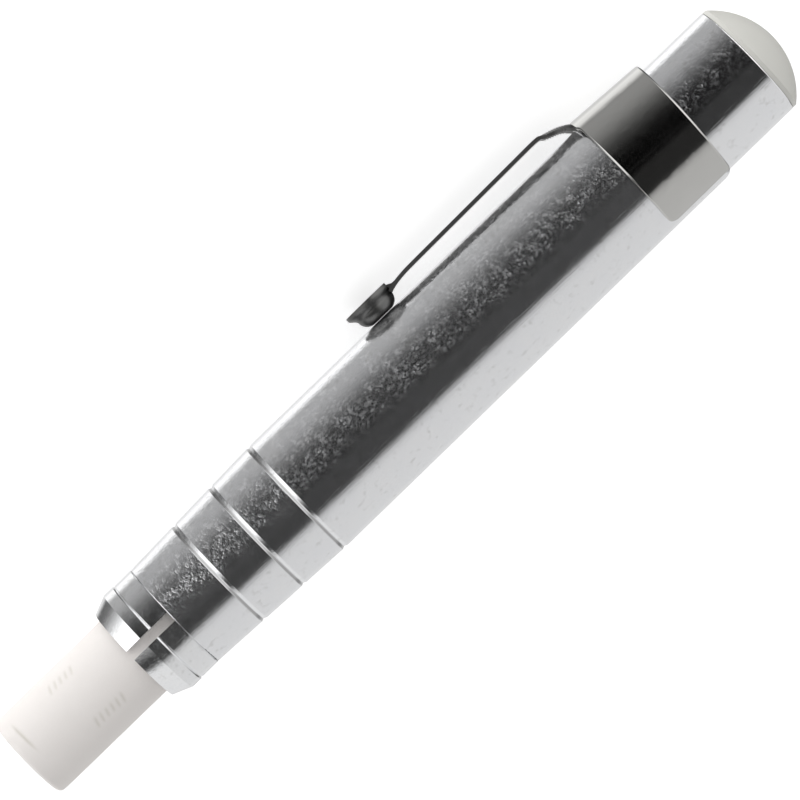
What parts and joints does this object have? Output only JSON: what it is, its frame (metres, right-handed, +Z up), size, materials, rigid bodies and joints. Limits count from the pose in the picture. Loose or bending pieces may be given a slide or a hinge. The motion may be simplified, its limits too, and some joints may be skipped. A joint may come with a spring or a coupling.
{
  "type": "chalk holder",
  "caption": "Round metal holder for a stick of chalk, with a slotted jaw collet, a sprung push button and a pocket clip.",
  "frame": {"origin": "middle of the holder's length and width, on the table that it lies on", "axes": "+X along the barrel from the chalk to the button, +Z up, and the pocket clip on the +Y side, rolled down until its ball touches the table"},
  "size_m": [0.1016, 0.0164, 0.0149],
  "materials": {
    "barrel_aluminium": "mill finish, mottled and lightly scuffed",
    "button_aluminium": "drawn bright",
    "clip_nickel": "nickel plated, smooth",
    "jaw_nickel": "bright plated, small dents",
    "inner_steel": "plain",
    "spring_steel": "plain drawn wire",
    "white_plastic": "satin moulded",
    "chalk": "dry chalk, worn end"
  },
  "bodies": {
    "holder": {"barrel": "barrel_aluminium", "clip_band": "clip_nickel", "spring_seat": "inner_steel", "return_spring": "spring_steel"},
    "plunger": {"chalk_tube": "inner_steel", "jaw_carrier": "jaw_nickel", "spring_washer": "inner_steel", "snap_ring": "spring_steel", "rear_bush": "inner_steel", "button_sleeve": "button_aluminium", "button_plug": "white_plastic"},
    "chalk": {"chalk_stick": "chalk"},
    "clip": {"clip_arm": "clip_nickel"},
    "jaw_1": {"jaw_1": "jaw_nickel"},
    "jaw_2": {"jaw_2": "jaw_nickel"},
    "jaw_3": {"jaw_3": "jaw_nickel"},
    "jaw_4": {"jaw_4": "jaw_nickel"}
  },
  "joints": [
    {"name": "button_press", "type": "slide", "parent": "holder", "child": "plunger", "axis": [-1, 0, 0], "range_m": [0, 0.005], "stiffness_N_per_m": 600, "springref_m": -0.005, "deforming": ["return_spring"]},
    {"name": "chalk_feed", "type": "slide", "parent": "plunger", "child": "chalk", "axis": [-1, 0, 0], "range_m": [-0.0145, 0.04]},
    {"name": "clip_flex", "type": "hinge", "parent": "holder", "child": "clip", "pos_m": [0.03045, 0.00539, 0.00316], "axis": [0, -0.5761, -0.8174], "range_deg": [0, 5], "stiffness_Nm_per_rad": 1.3, "springref_deg": -1.15},
    {"name": "jaw_1_open", "type": "hinge", "parent": "plunger", "child": "jaw_1", "pos_m": [-0.0167, -0.00165, 0.01276], "axis": [0, 0.9902, 0.1395], "range_deg": [0, 3]},
    {"name": "jaw_2_open", "type": "hinge", "parent": "plunger", "child": "jaw_2", "pos_m": [-0.0167, -0.00607, 0.00688], "axis": [0, -0.1395, 0.9902], "range_deg": [0, 3]},
    {"name": "jaw_3_open", "type": "hinge", "parent": "plunger", "child": "jaw_3", "pos_m": [-0.0167, -0.00019, 0.00246], "axis": [0, -0.9902, -0.1395], "range_deg": [0, 3]},
    {"name": "jaw_4_open", "type": "hinge", "parent": "plunger", "child": "jaw_4", "pos_m": [-0.0167, 0.00423, 0.00833], "axis": [0, 0.1395, -0.9902], "range_deg": [0, 3]}
  ],
  "couplings": [
    {"joint": "jaw_1_open", "follows": "button_press", "rad_per_m": 10.123},
    {"joint": "jaw_2_open", "follows": "button_press", "rad_per_m": 10.123},
    {"joint": "jaw_3_open", "follows": "button_press", "rad_per_m": 10.123},
    {"joint": "jaw_4_open", "follows": "button_press", "rad_per_m": 10.123}
  ]
}
